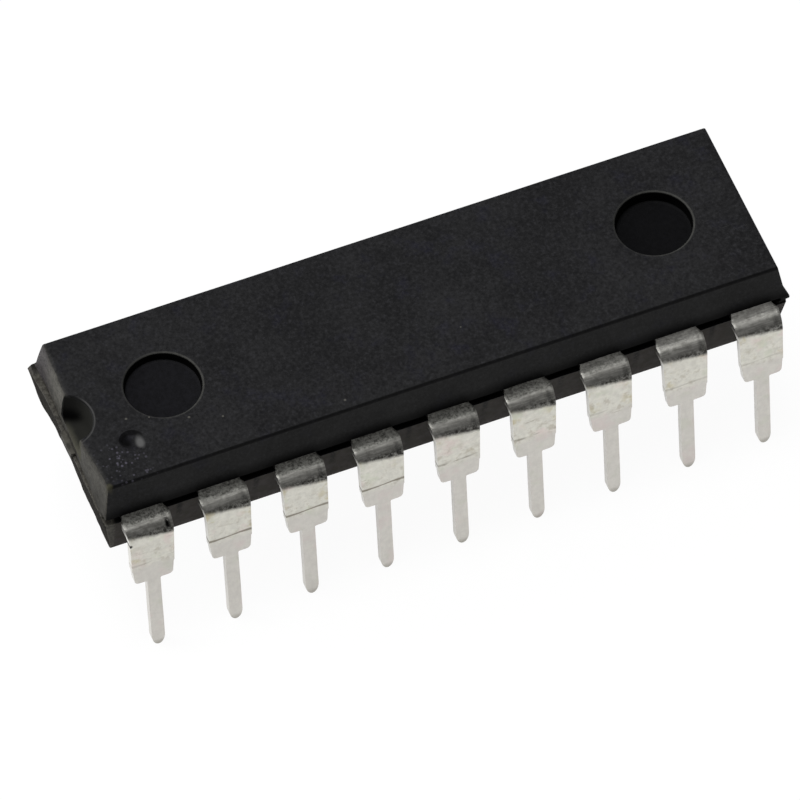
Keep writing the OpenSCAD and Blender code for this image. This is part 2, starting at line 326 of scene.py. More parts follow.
# %% [markdown]
# ## The moulded block
#
# The compound is pressed into a mould of two halves that never meet quite square, so the lower half
# ends in a small ledge at the notch end and the upper half in a lip of flash at the plain end. Both
# halves have draft, or the part would stick. Between the leads the flash was punched out, which leaves
# a channel as high as the strip is thick. A fine grid is the base, because the ends are rough and the
# rings must be free to wander a little.

# %% Block outline, ring by ring
upper_x, lower_x = (-11.275, 11.36), (-11.395, 11.36)
upper_y, lower_y = (-3.13, 3.39), (-3.16, 3.30)
parting, top_z, under_z, strip_low, strip_high = 5.44, 6.81, 3.64, 5.323, 5.577
strip_mid, middle_y, inner_y = (strip_low + strip_high) / 2, 0.10, (-2.80, 3.00)
land, hair = 0.05, 0.002
lip_out, lip_top, lip_rise = 0.07, 5.8, 0.31
end_fall, upper_fall, lower_fall = (math.tan(math.radians(draft)) for draft in (8, 13.5, 10.5))


def lower_ring(z, inset=0.0):
    """The lower half's outline at a height; it has no draft over the land by the parting line."""
    depth = max(0.0, parting - land - z)
    x, y = depth * end_fall + inset, depth * lower_fall + inset
    return (z, lower_x[0] + x, lower_x[1] - x, lower_y[0] + y, lower_y[1] - y)


def upper_ring(z, inset=0.0):
    """The upper half's outline at a height, with the lip of flash low on the plain end."""
    rise = max(0.0, z - parting - land)
    x, y = rise * end_fall + inset, rise * upper_fall + inset
    lip = lip_out * share((lip_top - z) / lip_rise)
    return (z, upper_x[0] + x, upper_x[1] - x + lip, upper_y[0] + y, upper_y[1] - y)


rings = [lower_ring(under_z, 0.06), lower_ring(under_z + 0.008, 0.03), lower_ring(under_z + 0.03, 0.008)]
rings += [lower_ring(under_z + 0.1 + i * (strip_low - under_z - 0.1) / 7) for i in range(8)]
rings += [(*lower_ring(z)[:3], *inner_y) for z in (strip_low + hair, 5.38, parting - hair)]
rings += [(*upper_ring(z)[:3], *inner_y) for z in (parting, 5.5, strip_high - hair)]
rings += [upper_ring(strip_high + i * (top_z - 0.08 - strip_high) / 7) for i in range(8)]
rings += [upper_ring(top_z - 0.04, 0.008), upper_ring(top_z - 0.012, 0.026), upper_ring(top_z, 0.06)]

fresh()
base = (0, 0, under_z * MM)
bpy.ops.mesh.primitive_grid_add(x_subdivisions=90, y_subdivisions=27, size=MM, location=base)
block = bpy.context.object
block.name = "block"
bpy.ops.object.transform_apply(location=True, rotation=True, scale=True)
bpy.ops.object.mode_set(mode="EDIT")
first = rings[0]
bpy.ops.transform.resize(value=(first[2] - first[1], first[4] - first[3], 1), center_override=base)
bpy.ops.transform.translate(value=Vector(((first[1] + first[2]) / 2, (first[3] + first[4]) / 2, 0)) * MM)
bpy.ops.mesh.select_all(action="DESELECT")
for v in bmesh.from_edit_mesh(block.data).verts:
    v.select = len(v.link_edges) == 2
bpy.ops.mesh.bevel(offset=0.05 * MM, segments=3, affect="VERTICES")
stack(rings)
print(len(block.data.vertices), "points in the block's rings,", len(rings), "rings")

# %% [markdown]
# ## Marks of the mould
#
# Two ejector pins push the part out and leave round pits. The pins were a little proud of the mould
# and worn at the rim, so a pit has a soft lip round it, a steep wall and a fillet at its floor. The
# notch and the dimple are raised shapes of the mould: the notch's wall has draft and the dimple is a
# shallow dish. Each is a turned cutter, made like the block from a stack of rings.

# %% Cut the round pits
def from_height(height, pairs):
    """Rings whose heights are given from one height."""
    return [(height + rise, radius) for rise, radius in pairs]


pits = [("left_pit", -8.14, 0.21, 0.32), ("right_pit", 8.26, 0.21, 0.42)]
pit_rim = from_height(top_z, [(-0.05, 1.215), (-0.02, 1.23), (-0.006, 1.26), (0.002, 1.31), (0.1, 1.32)])
for name, x, y, depth in pits:
    pit_wall = from_height(top_z - depth, [(0, 1.08), (0.006, 1.13), (0.03, 1.175), (0.08, 1.2)])
    carve(block, turned(name, x, y, pit_wall + pit_rim, sides=80))
print("pits at", [(x, y) for _, x, y, _ in pits])

# %% Cut the notch and the dimple
notch_place, notch_floor = (-11.54, middle_y), 5.82
notch_bowl = from_height(
    notch_floor, [(0, 0.50), (0.02, 0.64), (0.06, 0.74), (0.13, 0.81), (0.22, 0.86), (0.34, 0.895)])
notch_lip = from_height(top_z, [(-0.06, 0.975), (-0.02, 0.995), (-0.004, 1.03), (0.004, 1.06), (0.15, 1.07)])
carve(block, turned("notch", *notch_place, notch_bowl + notch_lip, sides=72))
dish_place, dish_depth, dish_r = (-9.79, -1.40), 0.17, 0.4
ball = (dish_r ** 2 + dish_depth ** 2) / (2 * dish_depth)
ball_z = top_z - dish_depth + ball
dish = [(top_z - dish_depth, 0.03)]
dish += [(ball_z - math.sqrt(ball ** 2 - r * r), r) for r in (0.09, 0.16, 0.23, 0.29, 0.34, 0.375)]
dish += from_height(top_z, [(-0.004, dish_r), (0.004, 0.425), (0.1, 0.43)])
carve(block, turned("dimple", *dish_place, dish, sides=48))
print(len(block.data.polygons), "faces in the block after carving")

# %% [markdown]
# ## Rough edges
#
# Steel wears and flash tears, so no edge of a moulding is a ruled line. The end beside the notch bows
# out by more than a tenth of a millimetre, and the ledges wander by a few hundredths. These are moves
# of the rings' own points, nearly all along x or y, and they fade to nothing away from the edge. At
# two corners the flash was left in the channel, and there the channel's points move out to fill it.


# %% How far the ends stand in and out
def wander(x, y, z, size, seed):
    """A smooth random number from -1 to 1."""
    return noise.noise(Vector((x / size + seed, y / size, z / size)))


def bow(y):
    """How far the notch end stands out of its straight line at the top edge."""
    places = [(-3.2, -0.03), (-2.71, -0.05), (-0.82, -0.17), (0.98, -0.02), (3.05, 0.05), (3.4, 0.05)]
    for (a, p), (b, q) in zip(places, places[1:]):
        if y <= b:
            part = max(0.0, (y - a) / (b - a))
            return p + (q - p) * (3 * part * part - 2 * part ** 3)
    return places[-1][1]


def dent(y):
    """How far the lower half's end stands in from its straight line."""
    inner = share((2.9 - y) / 1.2) * share((y + 2.2) / 2.8)
    return 0.05 * inner - 0.06 * share((y - 2.6) / 0.5)


print("left edge of the top bows by up to", round(-min(bow(y / 10) for y in range(-32, 34)), 3), "mm")

# %% Push the rings about
left_zone, right_zone = -10.9, 11.2
for v in block.data.vertices:
    x, y, z = v.co / MM
    height = share((z - parting) / 1.2)
    in_channel = strip_low + 0.001 < z < strip_high - 0.001
    if in_channel and x < left_zone and y > 2.9:
        y += 0.3
    if in_channel and x > 11.05 and y < -2.7:
        y -= 0.31
    if x < left_zone and z < parting + 0.08:
        x += dent(y) + 0.024 * max(0.0, parting - z) * share((y + 0.5) / 1.6)
        if y > 3.0 and z > parting - 0.3:
            y += 0.09
            z += 0.04 if abs(z - parting) < 0.03 else 0.0
    if x > 11.3 and y < -3.0 and parting - 0.001 < z < lip_top:
        x += 0.05
    if x < left_zone:
        near = min(1.0, (left_zone - x) / 0.15)
        x += near * bow(y) * height
        if z > parting - 0.001:
            x += near * 0.033 * (y - 0.13) * (1 - height)
        x += near * (0.02 * wander(0, y, z, 0.5, 3) + 0.012 * wander(0, y, z, 0.16, 9))
        if abs(z - parting) < 0.06:
            x += near * 0.03 * wander(0, y, 0, 0.9, 5)
    if x > right_zone and abs(z - parting) < 0.1:
        x += 0.02 * wander(0, y, z, 0.6, 12)
    if abs(y - middle_y) > 3.0 and abs(z - strip_mid) < 0.135:
        y += 0.012 * wander(x, 0, z * 3, 0.7, 15)
    if abs(y - middle_y) > 2.6:
        y += 0.006 * wander(x, 0, z, 2.5, 21)
    v.co = Vector((x, y, z)) * MM
fresh()
block.select_set(True)
bpy.context.view_layer.objects.active = block
bpy.ops.object.shade_smooth_by_angle(angle=math.radians(32))
low_x, high_x = (pick(v.co.x for v in block.data.vertices) / MM for pick in (min, max))
print("the block runs from", round(low_x, 3), "to", round(high_x, 3), "mm")

# %% [markdown]
# ## A lead, stamped flat and then folded
#
# A lead starts as a flat tongue of strip, 0.254 mm thick, wide at the shoulder that stops it on the
# board and narrow where it goes through. Press tools fold the tongue over a radius and stop a little
# short of a right angle. The same order works here: a grid is shaped to the tongue's outline, given
# its thickness, its sheared edges are rounded, and only then is every point carried round the bend.

# %% Outline of the tongue
strip_t, bend_in, splay = 0.254, 0.3, math.radians(4.5)
bend_mid = bend_in + strip_t / 2
bend_z = strip_low - bend_in
turn_angle = math.pi / 2 - splay
arc_l = bend_mid * turn_angle
leg_l = (bend_z + bend_mid * math.cos(turn_angle)) / math.sin(turn_angle) - 0.01
pitch = 2.54
wall_y, stubs = 3.26, {"front": 0.24, "rear": 0.04}
tail_w, tip_h, seat = 0.43, 0.4, 3.16
exit_w, bend_w, bend_taper = 1.36, 1.575, 0.125
shoulder_r, root_r = 0.16, 0.05

widths = [(5.3, 1.53), (5.023, 1.45), (4.4, 1.425), (3.79, 1.402), (3.768, 1.395), (3.755, 1.36),
          (3.74, 1.35), (3.5, 1.312), (3.32, 1.28)]
widths += [(seat + shoulder_r * (1 - math.sin(a)), 2 * (0.48 + shoulder_r * math.cos(a)))
           for a in (0.35, 0.7, 1.05, 1.35)]
widths += [(seat + 0.002, 0.94), (seat - 0.002, 0.54)]
widths += [(seat - root_r * (1 - math.cos(a)), 2 * (0.265 - root_r * math.sin(a))) for a in (0.5, 1.0)]
widths += [(seat - root_r, tail_w), (tip_h, tail_w)]
widths += [(tip_h * (1 - math.sin(a)), tail_w * math.cos(a)) for a in (0.25, 0.5, 0.75, 1.0, 1.2, 1.38, 1.5)]
widths.append((0.0, 0.02))


def width_at(z):
    """The tongue's width where it hangs at this height."""
    for (high, w), (low, n) in zip(widths, widths[1:]):
        if z >= low:
            return n + (w - n) * (min(z, high) - low) / (high - low)
    return widths[-1][1]


def stations(row_name):
    """Places along the tongue, as (distance from the bend's start, width)."""
    stub = stubs[row_name]
    inner = [(-stub - 0.45, exit_w), (-stub - 0.2, exit_w), (-stub, exit_w)]
    inner += [(-stub * 0.5, 1.47), (0.0, bend_w)]
    arc = [(arc_l * i / 11, bend_w - bend_taper * i / 11) for i in range(1, 12)]
    corners = {round(z, 4) for z, _ in widths if z < 5.0}
    tail = {round(0.55 + 0.22 * i, 3) for i in range(11)}
    shoulder = {round(3.85 + 0.12 * i, 3) for i in range(10)}
    heights = sorted(corners | tail | shoulder, reverse=True)
    heights = [a for a, b in zip(heights, heights[1:] + [-9.0]) if a - b > 0.0035 or a < 0.1]
    leg = [(arc_l + leg_l - z / math.cos(splay), width_at(z)) for z in heights]
    return inner + arc + leg


print(len(stations("front")), "cross-sections along a front lead")

# %% [markdown]
# ## Stamp and fold
#
# The press works on flat strip, and so does this cell. A point of the flat tongue has a distance along
# it and a height above its middle, and the fold turns these two numbers into a place on the bent lead.
# A bend modifier would stretch one side and lose the exact inner radius that the formula keeps.

# %% Stamp and fold
columns = 12


def fold(q, h, row_name):
    """Carries a point of the flat tongue, q along it and h above its middle, round the bend."""
    reach = wall_y + stubs[row_name]
    if q <= 0:
        return -reach - q, strip_mid + h
    turn, radius, past = min(q, arc_l) / bend_mid, bend_mid + h, max(0.0, q - arc_l)
    return (-reach - radius * math.sin(turn) - past * math.cos(turn),
            bend_z + radius * math.cos(turn) - past * math.sin(turn))


def stamp(row_name):
    """The tongue of one row, folded, with its middle at x = 0."""
    places = stations(row_name)
    fresh()
    bpy.ops.mesh.primitive_grid_add(x_subdivisions=columns, y_subdivisions=len(places) - 1, size=2)
    tongue = bpy.context.object
    bpy.ops.object.mode_set(mode="EDIT")
    shape = bmesh.from_edit_mesh(tongue.data)
    for v in shape.verts:
        along, width = places[round((1 - v.co.y) / 2 * (len(places) - 1))]
        across = math.sin(v.co.x * math.pi / 2) * 0.35 + v.co.x * 0.65
        v.co = Vector((across * width / 2, -along, -strip_t / 2)) * MM
    bpy.ops.mesh.select_all(action="SELECT")
    bpy.ops.mesh.extrude_region_move(TRANSFORM_OT_translate={"value": (0, 0, strip_t * MM)})
    bpy.ops.mesh.select_all(action="SELECT")
    bpy.ops.mesh.normals_make_consistent(inside=False)
    bpy.ops.mesh.select_all(action="DESELECT")
    shape = bmesh.from_edit_mesh(tongue.data)
    for e in shape.edges:
        if len(e.link_faces) == 2 and e.calc_face_angle(0) > math.radians(60):
            e.select = True
    bpy.ops.mesh.bevel(offset=0.022 * MM, segments=2, affect="EDGES", clamp_overlap=True)
    bpy.ops.object.mode_set(mode="OBJECT")
    for v in tongue.data.vertices:
        x, q, h = v.co.x / MM, -v.co.y / MM, v.co.z / MM
        y, z = fold(q, h, row_name)
        v.co = Vector((x, y, z)) * MM
    return tongue


masters = {row_name: stamp(row_name) for row_name in stubs}
print({k: len(m.data.polygons) for k, m in masters.items()}, "faces in a folded tongue")

# %% [markdown]
# ## Eighteen of them
#
# The tongues are one shape, and what differs is what handling did: each hangs a few hundredths of a
# millimetre off its place. Inside the block every lead goes on as its own finger towards the die.
# That hidden part is cut from the CAD solid and joined on, so a lead is still one whole piece.

# %% Nudge a copy to its place in the row
lean = {1: -0.035, 2: 0.0, 3: 0.01, 4: 0.0, 5: -0.02, 6: -0.02, 7: 0.01, 8: 0.0, 9: 0.015}
slide = {18: -0.11}


def place_in_row(n):
    """A lead's row, and how many pitches it stands from the middle of that row."""
    return ("front", n - 5) if n <= 9 else ("rear", n - 14)


def nudge(lead, n):
    """Carries a copy of the tongue to its place, with the small faults that are its own."""
    row_name, pitches = place_in_row(n)
    turn = 1 if row_name == "front" else -1
    drift = lean.get(n, 0.02 * math.sin(n * 2.3))
    for v in lead.data.vertices:
        x, y, z = v.co / MM
        hang = share((5.3 - z) / 2.2)
        x += slide.get(n, 0.0) * share((-y - 3.1) / 0.16)
        x += drift * hang + 0.006 * wander(x * 2, z, n * 3.1, 1.4, 4)
        y += 0.012 * math.sin(n * 1.9) * hang + 0.004 * wander(x, z, n * 2.7, 0.8, 8)
        v.co = Vector((turn * (pitches * pitch + x), turn * y + middle_y, z)) * MM


print("leads that lean:", sum(1 for drift in lean.values() if drift), "of", len(lean), "in the front row")

# %% Cut a finger from its CAD solid and join it on
def inner_finger(n):
    """A merged copy of a lead's CAD solid, without what stands outside the block."""
    front = place_in_row(n)[0] == "front"
    fresh()
    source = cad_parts[f"pin_{n}"]
    finger = source.copy()
    finger.data = source.data.copy()
    finger.parent = None
    finger.matrix_world = source.matrix_world.copy()
    bpy.context.scene.collection.objects.link(finger)
    finger.select_set(True)
    bpy.context.view_layer.objects.active = finger
    bpy.ops.object.transform_apply(location=True, rotation=True, scale=True)
    bpy.ops.object.mode_set(mode="EDIT")
    bpy.ops.mesh.select_all(action="SELECT")
    bpy.ops.mesh.remove_doubles(threshold=1e-7)
    cut = (-3.0 if front else 3.2) * MM
    bpy.ops.mesh.bisect(
        plane_co=(0, cut, 0), plane_no=(0, 1, 0), use_fill=True, clear_inner=front, clear_outer=not front)
    bpy.ops.mesh.select_all(action="SELECT")
    bpy.ops.mesh.normals_make_consistent(inside=False)
    bpy.ops.object.mode_set(mode="OBJECT")
    return finger


leads = []
for n in range(1, 19):
    master = masters[place_in_row(n)[0]]
    lead = master.copy()
    lead.data = master.data.copy()
    lead.name = lead.data.name = f"lead_{n}"
    bpy.context.scene.collection.objects.link(lead)
    nudge(lead, n)
    carve(lead, inner_finger(n), "UNION")
    bpy.ops.object.shade_smooth_by_angle(angle=math.radians(38))
    leads.append(lead)
for master in masters.values():
    bpy.data.objects.remove(master)
print(sum(len(p.data.polygons) for p in leads), "faces in the eighteen leads")

# %% [markdown]
# ## The black moulding
#
# Moulding compound is epoxy filled with ground silica: nearly black, matt, and very slightly grainy.
# The top was blasted and carries bluish smudges and pale specks. The lower half and the rough end by
# the notch are a browner grey, and both are painted lighter as well: the lower half as a painted
# reflection of the white floor, the end as painted light from the lamp at the left. The channel where
# the flash was punched out is painted black as painted shade. Each of these is a mask made from the
# place on the block, so the finish follows the shape. A picture laid over the block could give the same
# greys, but it would stretch on the sides.

# %% Noises of the compound, from broad to fine
mould = Finish("moulding_compound", Specular_IOR_Level=0.06)
fine = mould.clouds(22.0, 4.0, 0.6)
broad = mould.clouds(0.45, 3.0, 0.55, seed=3.0)
patches = mould.clouds(1.5, 4.0, 0.6, seed=7.0)
mottle = mould.clouds(3.4, 5.0, 0.65, seed=2.0)
dust = mould.clouds(7.0, 6.0, 0.75, seed=5.0)
grit = mould.clouds(9.0, 4.0, 0.75, seed=19.0)
print(len(mould.nodes), "nodes before any colour")

# %% Greys of the top, the lower half and the notch end
top_grey = mould.between(broad.ramp(0.35, 0.65), (31, 31, 32), (38, 38, 39))
top_grey = mould.over(top_grey, patches.ramp(0.52, 0.75) * 0.7, (36, 36, 46))
top_grey = mould.over(top_grey, dust.ramp(0.42, 0.7) * 0.5, (52, 52, 53))
top_grey = mould.over(top_grey, grit.fall(0.38, 0.5) * 0.5, (20, 20, 22))
top_grey = mould.over(top_grey, grit.ramp(0.52, 0.66) * 0.5, (54, 54, 57))
# The lower half's browner grey, painted lighter as a painted reflection of the white floor.
lower_grey = mould.between(mottle.ramp(0.4, 0.65), (52, 49, 44), (62, 58, 57))
high_end = mould.between(mottle.ramp(0.3, 0.7), (80, 79, 74), (104, 102, 96))
end_grey = mould.between(mottle.ramp(0.35, 0.7), (56, 55, 51), (78, 76, 71))
end_grey = mould.blend(mould.z.ramp(5.6, 6.6), end_grey, high_end)
end_grey = mould.over(end_grey, (mould.y - 1.6).ramp(0.0, 1.4) * 0.5, (80, 76, 82))
end_grey = mould.over(end_grey, mould.y.ramp(-1.5, 2.0, 0.45, 0.0), (58, 57, 54))
end_grey = mould.over(end_grey, grit.ramp(0.36, 0.52, 0.6, 0.0), (40, 39, 37))
print(len(mould.nodes), "nodes with the three greys")

# %% [markdown]
# ## Light and dark along the walls
#
# The lower half is a browner grey than the top, and it is painted lighter too, as a painted reflection
# of the white floor that its sides lean towards. The wall just above the leads gets a painted shade,
# darkest at its foot by the channel, and the rounded front edge of the top is painted near black, a
# painted reflection of nothing bright. Such tones could be painted by hand, but a mask on height and
# facing holds for every side of the block at once.

# %% Walls and edges of the upper half
low_half = mould.z.fall(5.28, 5.34)
side = abs(mould.y - middle_y)
tone = mould.blend(low_half, top_grey, lower_grey)
front_wall = (-mould.facing[1]).ramp(0.8, 0.97) * (1.0 - low_half)
tone = mould.over(tone, front_wall * 0.35, (58, 58, 57))
# Painted shade on the foot of the upper half's walls, just above the leads.
foot_shade = (mould.z - 5.58).ramp(0.0, 0.5, 0.9, 0.0) * side.ramp(3.0, 3.1) * (1.0 - low_half)
tone = mould.over(tone, foot_shade, (12, 12, 12))
# Painted shade: the rounded front edge of the top is painted near black, a painted reflection of nothing
# bright.
rounded = mould.z.ramp(6.70, 6.73) * mould.facing[2].fall(0.93, 0.99)
tone = mould.over(tone, rounded * (-mould.facing[1]).ramp(0.05, 0.2) * 0.7, (14, 14, 14))
print(len(mould.nodes), "nodes with the walls")

# %% The rough end by the notch
rear_edge = mould.y.ramp(-0.82, 0.98, 0.0, 0.15) + mould.y.ramp(0.98, 3.05, 0.0, 0.07)
top_edge = mould.y.ramp(-2.71, -0.82, -11.14, -11.26) + rear_edge
soft_edge = (mould.x - top_edge).ramp(-0.02, 0.17, 0.5, 0.0) * mould.z.ramp(6.6, 6.7)
tone = mould.over(tone, soft_edge * grit.ramp(0.35, 0.6, 0.5, 1.0), (80, 79, 76))
# The end by the notch is a rough, browner grey, painted lighter too, as painted light from the lamp at the
# left.
left_end = (-mould.facing[0] + (mottle - 0.5) * 0.5).ramp(0.45, 0.75) * (mould.x + 10.98).fall(0.0, 0.05)
dimmed = mould.over(end_grey, (mould.z - 6.55).ramp(0.0, 0.25, 0.0, 0.35), (48, 47, 46))
tone = mould.blend(left_end, tone, dimmed)
ledge = mould.z.fall(5.43, 5.5) * (mould.x + 11.0).fall(-0.1, 0.0)
ledge_grey = mould.between(dust.ramp(0.4, 0.6), (60, 58, 54), (88, 86, 80))
tone = mould.blend(ledge * mottle.ramp(0.3, 0.6, 0.6, 1.0), tone, ledge_grey)
lower_end = (-mould.facing[0]).ramp(0.6, 0.85) * mould.z.fall(5.36, 5.42)
lower_end_grey = mould.between(dust.ramp(0.3, 0.75), (34, 33, 31), (58, 56, 52))
tone = mould.blend(lower_end, tone, lower_end_grey)
print(len(mould.nodes), "nodes with the rough end")

# %% [markdown]
# ## Inside the pits, the notch and the dimple
#
# Little light gets into a sunk place, and the mould was smoother there, so the pits' walls are painted
# near black and their floors a shade lighter, darker in the deeper pit, all as painted shade. The notch
# is painted lighter and browner by its mouth as painted light, dark at the back as painted shade, with a
# black painted shadow at the foot of its rear wall, and a thin painted highlight on its far rim. The
# dimple is polished: it gets a painted shade on one side and a painted highlight for its gleam. The
# lamps alone shade all this too weakly, because their light is soft, so these painted masks help them.
# A mask that is round from above goes down through the whole block, so each of these stops well above
# the underside, where it would show too.

# %% Pits and notch
upper_part = mould.z.ramp(6.1, 6.2)
sunk = upper_part * mould.z.fall(6.75, 6.79)
floor_up = mould.facing[2].ramp(0.75, 0.98)
# Painted shade in the pits: near-black walls, and dark floors, darkest in the deeper pit.
pit_shade_tones = [((2, 2, 2), (20, 20, 22), (27, 27, 30)), ((1, 1, 1), (10, 10, 12), (16, 16, 18))]
for (_, x, y, _), (wall, low_tone, high_tone) in zip(pits, pit_shade_tones):
    bottom = mould.between(dust.ramp(0.35, 0.65), low_tone, high_tone)
    pit_shade = mould.blend(floor_up, mould.colour(*wall), bottom)
    tone = mould.blend(mould.spot(x, y, 1.26, 0.02) * sunk, tone, pit_shade)
from_notch = mould.far(*notch_place)
in_notch = mould.z.fall(6.70, 6.79) * mould.z.ramp(5.78, 5.81) * from_notch.fall(1.0, 1.02)
# Painted light and shade in the notch: lighter by its mouth, dark at the back, and a black painted shadow at
# the foot of its rear wall.
notch_lit_mouth = (mould.x + (mottle - 0.5) * 0.2).ramp(-11.36, -11.0)
notch_light_and_shade = mould.between(notch_lit_mouth, (84, 83, 74), (40, 40, 38))
notch_light_and_shade = mould.over(notch_light_and_shade, mould.y.ramp(0.3, 0.85), (32, 32, 31))
rear_corner_shadow = (mould.y + (mould.x + 11.3) * 0.6).ramp(0.66, 0.92)
ragged = (mould.x + (grit - 0.5) * 0.3).fall(-10.85, -10.58)
notch_light_and_shade = mould.over(notch_light_and_shade, mould.z.fall(5.95, 6.5) * rear_corner_shadow * ragged, (0, 0, 0))
tone = mould.blend(in_notch, tone, notch_light_and_shade)
# A thin painted highlight on the notch's rounded far rim.
far_side = (mould.x - mould.y * 0.35).ramp(-11.1, -10.7)
notch_rim_highlight = abs(from_notch - 1.03).fall(0.005, 0.04) * mould.z.ramp(6.72, 6.78) * far_side
tone = mould.over(tone, notch_rim_highlight * 0.5, (84, 84, 83))
print(len(mould.nodes), "nodes with the pits and the notch")

# %% The dimple and the smudge beside it
dots = mould.cells(8.0, seed=2.0).fall(0.22, 0.42)
smudge = mould.spot(-10.55, -1.95, 0.9, 0.8).most(mould.spot(-10.1, -2.35, 1.1, 0.9) * 0.8) * dots
tone = mould.over(tone, smudge * (mould.z - 6.7).ramp(0.0, 0.08) * 0.8, (86, 84, 94))
tone = mould.over(tone, mould.spot(-11.06, -2.76, 0.14, 0.6) * upper_part * 0.5, (70, 68, 52))
# Painted shade on the dimple's dark side and a painted highlight for its gleam.
shaded = mould.spot(-9.94, -1.34, 0.31, 0.9)
tone = mould.over(tone, shaded * upper_part * 0.85, (7, 7, 7))
gleam = (((mould.x + 9.56) * 2.1) ** 2.0 + (mould.y + 1.50) ** 2.0).root().fall(0.1, 0.36)
tone = mould.over(tone, gleam * upper_part * 0.9, (90, 90, 90))
print(len(mould.nodes), "nodes with the dimple")

# %% [markdown]
# ## Wear on the top, painted shadows between the leads
#
# Handling leaves small things: the pits' rims are pale, partly with dust and partly with a painted
# highlight where the rounded rim catches the light, most on the side towards the plain end, a few
# specks of filler lie bare, and one patch by the plain end is scratched along the block. On the lower
# half a thin painted shadow runs down midway between two leads. Some specks have a place of their own,
# and the rest are scattered by a noise, which is quicker than placing each one.

# %% Pale rims with dust and a painted highlight, specks and scratches
for _, x, y, _ in pits:
    # Pale rims: part dust, part a painted highlight on the rounded rim, most towards the plain end.
    rim = abs(mould.far(x, y) - 1.255).fall(0.01, 0.045)
    rim_dust_and_highlight = (mould.x - x).ramp(-1.2, 1.2, 0.25, 0.75) * dust.ramp(0.3, 0.6, 0.5, 1.0)
    tone = mould.over(tone, rim * rim_dust_and_highlight * mould.z.ramp(6.74, 6.78), (74, 74, 71))
specks = mould.cells(0.9, seed=11.0).fall(0.015, 0.035) * (mould.z - 6.7).ramp(0.0, 0.05)
single_specks = [(-9.66, -0.57, 0.05), (-8.98, -0.77, 0.04), (-7.84, -1.24, 0.05),
                 (-6.86, -1.6, 0.045), (-3.15, -2.45, 0.05)]
for x, y, radius in single_specks:
    specks = specks.most(mould.spot(x, y, radius, 0.4))
tone = mould.over(tone, specks * 0.5, (104, 102, 96))
lines = mould.clouds(1.0, 3.0, 0.6, place=mould.stretched(0.5, 14.0, 1.0), seed=61.0)
scratches = lines.ramp(0.66, 0.7) * mould.spot(9.9, -1.2, 1.5, 0.6)
tone = mould.over(tone, scratches * mould.z.ramp(6.7, 6.8) * 0.35, (84, 84, 84))
print(len(single_specks), "specks with a place of their own")

# %% The punched channel's painted shade and the painted shadows between the leads
# The punched channel is painted black as painted shade.
channel_shade = abs(mould.z - strip_mid).fall(0.115, 0.15) * side.ramp(2.5, 2.6)
channel_shade = channel_shade * (mould.x + 10.95).ramp(0.0, 0.1)
channel_shade = channel_shade * (mould.x - 11.0).fall(0.0, 0.06).most(mould.y.ramp(0.0, 1.0))
tone = mould.over(tone, channel_shade, (2, 2, 2))
between_leads = 1.24
nearest_lead = ((mould.x - between_leads) / pitch).whole() * pitch
# A thin painted shadow of each lead on the lower half, midway between two leads.
lead_shadow = abs(mould.x - nearest_lead - between_leads).fall(0.03, 0.15)
lead_shadow = lead_shadow * (-mould.y).ramp(2.7, 2.8) * low_half
tone = mould.over(tone, lead_shadow * mould.z.ramp(4.2, 5.3, 0.2, 0.9) * grit.ramp(0.4, 0.5), (14, 14, 13))
print(len(mould.nodes), "nodes with the channel")

# %% Relief and dullness of the compound
grain = mould.bump(fine, 0.3, 0.012)
rough_end = mould.bump(mottle, left_end.ramp(0.0, 1.0, 0.15, 0.7), 0.06, under=grain)
dull = lower_end.most(in_notch)
mould.set(Base_Color=tone, Roughness=patches.ramp(0.2, 0.8, 0.52, 0.64).most(dull), Normal=rough_end)
print(len(mould.nodes), "nodes in the moulding compound")

# %% [markdown]
# ## Tinned leads
#
# The strip is a copper or nickel-iron alloy with a dull layer of tin. The flat faces keep the grey of
# the plating, and the outside of each bend was rubbed by the forming tool down to a line just under
# it. Tin is metal, but a dull one: its grains scatter light, so the finish is not fully metallic and
# quite rough, and the rubbed bend is darker and a little smoother. One finish serves all eighteen: it
# works out from x which lead it is on, and so a stain can differ from lead to lead.

# %% Which lead, and where on it
tin = Finish("tin_plating")
streaks = tin.clouds(3.0, 4.0, 0.6, place=tin.stretched(6.0, 6.0, 0.7), seed=4.0)
brushed = tin.clouds(2.0, 4.0, 0.6, place=tin.stretched(0.8, 9.0, 9.0), seed=6.0)
grains = tin.clouds(5.0, 5.0, 0.65, seed=9.0)
number = (tin.x / pitch).whole()
across = tin.x - number * pitch
front = (-tin.y).ramp(0.0, 1.0)
print(len(tin.nodes), "nodes before any colour")

# %% Flat faces: the plating, its stains and a painted shadow at the tips
face = tin.between(grains.ramp(0.3, 0.7), (213, 211, 202), (231, 229, 219))
face = tin.over(face, tin.clouds(1.3, 3.0, 0.55, seed=14.0).ramp(0.52, 0.7) * 0.6, (226, 208, 204))
face = tin.over(face, tin.clouds(1.7, 3.0, 0.5, seed=31.0).ramp(0.55, 0.7) * 0.5, (204, 210, 188))
stain = tin.clouds(2.2, 4.0, 0.6, seed=37.0).ramp(0.5, 0.66)
face = tin.over(face, stain * abs(across).ramp(0.2, 0.7) * tin.z.ramp(3.9, 4.2) * 0.75, (196, 186, 150))
grime = tin.clouds(3.2, 5.0, 0.7, seed=88.0).ramp(0.5, 0.66)
grime = grime * tin.z.ramp(3.6, 3.95) * tin.z.ramp(4.4, 5.0, 1.0, 0.25)
face = tin.over(face, grime * 0.5, (172, 164, 146))
face = tin.over(face, tin.z.ramp(3.7, 4.1, 0.45, 0.0), (204, 199, 196))
# Painted shadow at the tips, where they stand on the floor.
face = tin.over(face, tin.z.ramp(0.05, 0.3, 0.5, 0.0), (140, 136, 126))
sheared = abs(tin.facing[0]).ramp(0.5, 0.8)
face = tin.over(face, sheared * tin.z.ramp(3.1, 3.3, 0.3, 0.65), (244, 243, 240))
print(len(tin.nodes), "nodes with the flat faces")

